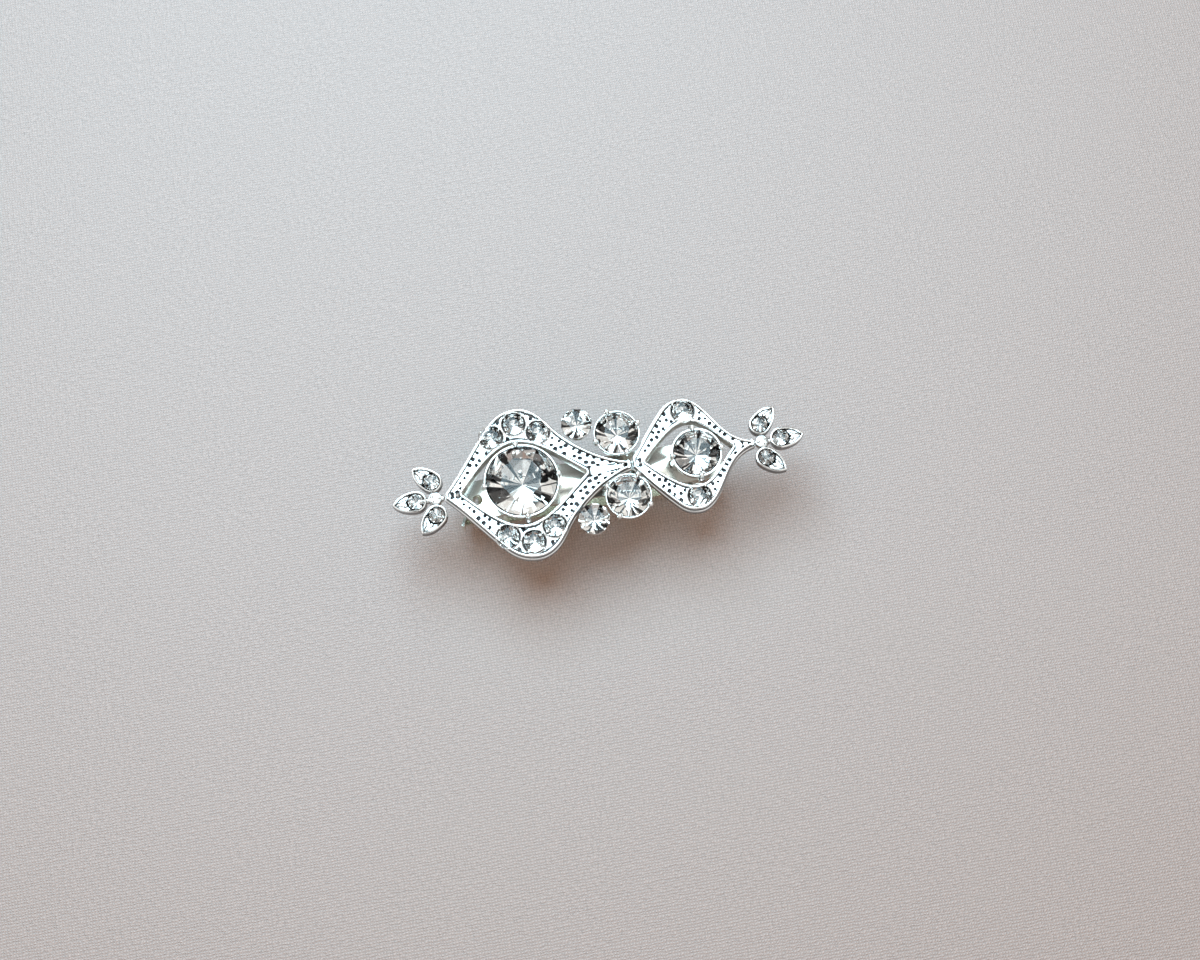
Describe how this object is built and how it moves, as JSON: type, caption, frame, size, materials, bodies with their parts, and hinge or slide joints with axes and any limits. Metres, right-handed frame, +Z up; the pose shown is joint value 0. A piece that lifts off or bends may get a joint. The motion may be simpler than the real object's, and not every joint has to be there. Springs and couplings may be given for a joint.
{
  "type": "hair clip",
  "caption": "Hair clip with a pierced silver-coloured ornament set with clear stones, soldered on a sprung barrette whose hinged arm snaps into a two-winged catch.",
  "frame": {"origin": "centre of the bounding box in X and Y, at the underside of the closed clasp arm", "axes": "+X along the clip from the catch end to the hinge end, +Y across it, +Z up from the clasp arm to the stones"},
  "size_m": [0.0636, 0.024, 0.0149],
  "materials": {
    "crystal": "foil-backed cut crystal, polished",
    "plated_casting": "bright silver-coloured plating on a textured casting",
    "plated_cup": "bright silver-coloured plating, smooth",
    "solder": "dull solder",
    "barrette_steel": "nickel-plated spring steel, satin"
  },
  "bodies": {
    "barrette": {"top_bar": "barrette_steel", "hinge_pin": "barrette_steel", "band_rivet": "barrette_steel", "catch_base": "barrette_steel", "catch_rivet": "barrette_steel", "solder_pad_left": "solder", "solder_pad_right": "solder", "large_frame": "plated_casting", "small_frame": "plated_casting", "left_sprig": "plated_casting", "right_sprig": "plated_casting", "big_cup": "plated_cup", "centre_cup": "plated_cup", "medium_cup_back": "plated_cup", "medium_cup_front": "plated_cup", "small_cup_back": "plated_cup", "small_cup_front": "plated_cup", "big_stone": "crystal", "centre_stone": "crystal", "medium_stone_back": "crystal", "medium_stone_front": "crystal", "small_stone_back": "crystal", "small_stone_front": "crystal", "pave_stone_large_back_1": "crystal", "pave_stone_large_back_2": "crystal", "pave_stone_large_back_3": "crystal", "pave_stone_large_front_1": "crystal", "pave_stone_large_front_2": "crystal", "pave_stone_large_front_3": "crystal", "pave_stone_small_back": "crystal", "pave_stone_small_front": "crystal", "sprig_stone_left_middle": "crystal", "sprig_stone_left_back": "crystal", "sprig_stone_left_front": "crystal", "sprig_stone_right_middle": "crystal", "sprig_stone_right_back": "crystal", "sprig_stone_right_front": "crystal"},
    "arm": {"clasp_arm": "barrette_steel"},
    "band": {"tension_band": "barrette_steel"},
    "wing_back": {"catch_wing_back": "barrette_steel"},
    "wing_front": {"catch_wing_front": "barrette_steel"}
  },
  "joints": [
    {"name": "arm_hinge", "type": "hinge", "parent": "barrette", "child": "arm", "pos_m": [0.0176, 0, 0.0052], "axis": [0, -1, 0], "range_deg": [0, 80]},
    {"name": "band_flex", "type": "hinge", "parent": "barrette", "child": "band", "pos_m": [0.0129, 0, 0.0072], "axis": [0, 1, 0], "range_deg": [0, 2.5], "stiffness_Nm_per_rad": 0.02},
    {"name": "wing_back_squeeze", "type": "hinge", "parent": "barrette", "child": "wing_back", "pos_m": [-0.01658, 0.0015, 0.0045], "axis": [0, 0, 1], "range_deg": [0, 8], "stiffness_Nm_per_rad": 0.004},
    {"name": "wing_front_squeeze", "type": "hinge", "parent": "barrette", "child": "wing_front", "pos_m": [-0.01658, -0.0015, 0.0045], "axis": [0, 0, -1], "range_deg": [0, 8], "stiffness_Nm_per_rad": 0.004}
  ]
}
